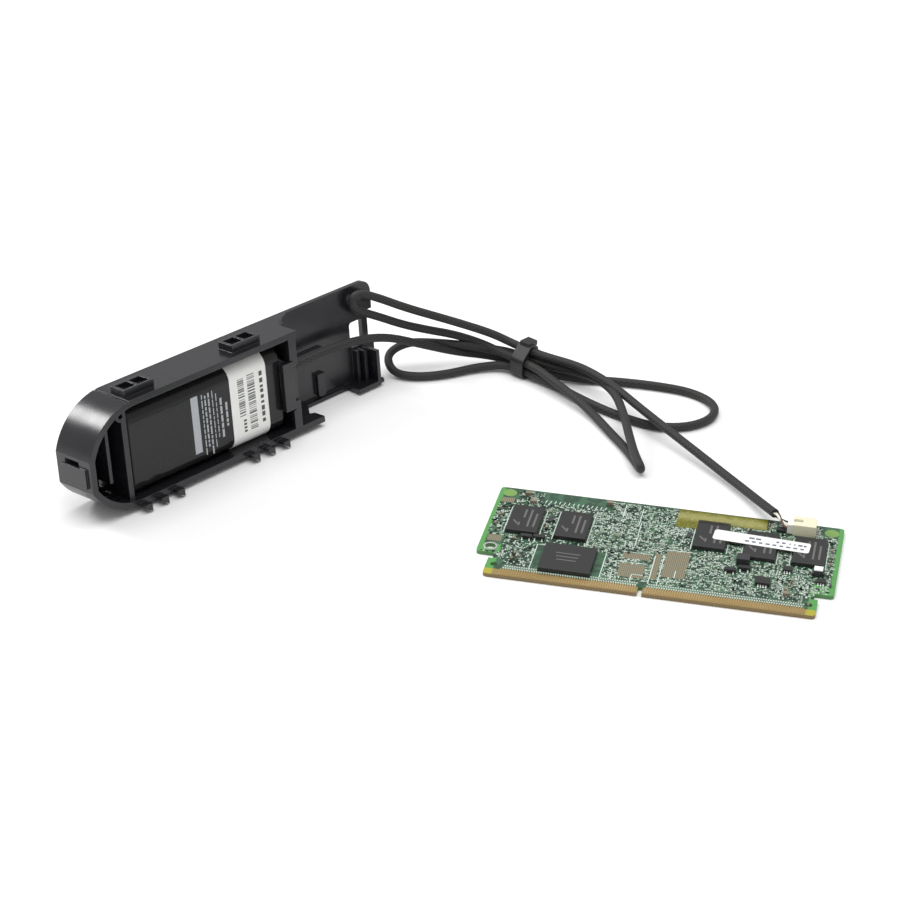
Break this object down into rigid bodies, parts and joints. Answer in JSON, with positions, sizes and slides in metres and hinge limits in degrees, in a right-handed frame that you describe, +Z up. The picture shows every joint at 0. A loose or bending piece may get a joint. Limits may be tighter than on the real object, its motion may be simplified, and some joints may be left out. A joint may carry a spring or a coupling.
{
  "type": "raid cache module",
  "caption": "Green cache memory board with a keyed gold edge, joined by a looped sleeved lead to a backup battery pack in a black moulded holder.",
  "frame": {"origin": "on the table, at the middle of the box round the battery holder and the board", "axes": "+X along the battery holder's length towards its open end, +Y towards the holder's back plate, +Z up"},
  "size_m": [0.1679, 0.1704, 0.0323],
  "materials": {
    "black_moulding": "glossy black",
    "shrink_film": "shrink film over cells",
    "white_label": "satin label stock",
    "braided_sleeve": "braided black sleeve",
    "black_strap": "satin nylon",
    "wire_insulation": "insulated wires",
    "white_nylon": "white nylon",
    "cream_nylon": "cream nylon",
    "board_laminate": "green solder mask",
    "gold_plating": "gold flash",
    "tinned_metal": "tinned",
    "chip_black": "moulded chip body",
    "tape_film": "translucent film",
    "ferrite_grey": "ferrite",
    "lamp_white": "lamp body",
    "capacitor_tan": "fired ceramic",
    "resistor_black": "coated ceramic"
  },
  "bodies": {
    "root": {"battery_holder": "black_moulding", "battery_label": "white_label", "battery_pack": "shrink_film", "board_header": "cream_nylon", "bridge_chip": "chip_black", "buffer_chip": "chip_black", "cache_chip_1": "chip_black", "cache_chip_2": "chip_black", "cache_chip_3": "chip_black", "cache_chip_4": "chip_black", "cache_chip_5": "chip_black", "chip_capacitors": "capacitor_tan", "chip_label": "white_label", "chip_legs": "tinned_metal", "chip_resistors": "resistor_black", "circuit_board": "board_laminate", "edge_contacts": "gold_plating", "eight_pin_chip": "chip_black", "gauge_chip": "chip_black", "guard_chip": "chip_black", "header_pins": "tinned_metal", "hole_ring": "tinned_metal", "insulating_tape": "tape_film", "lead_plug": "white_nylon", "lead_sleeve": "braided_sleeve", "lead_tie": "black_strap", "lead_wires": "wire_insulation", "pack_lead_boot": "black_strap", "power_inductor": "ferrite_grey", "reservoir_capacitors": "capacitor_tan", "resistor_packs": "resistor_black", "status_lamp": "lamp_white", "switch_legs": "tinned_metal", "switch_transistors": "chip_black"}
  },
  "joints": []
}
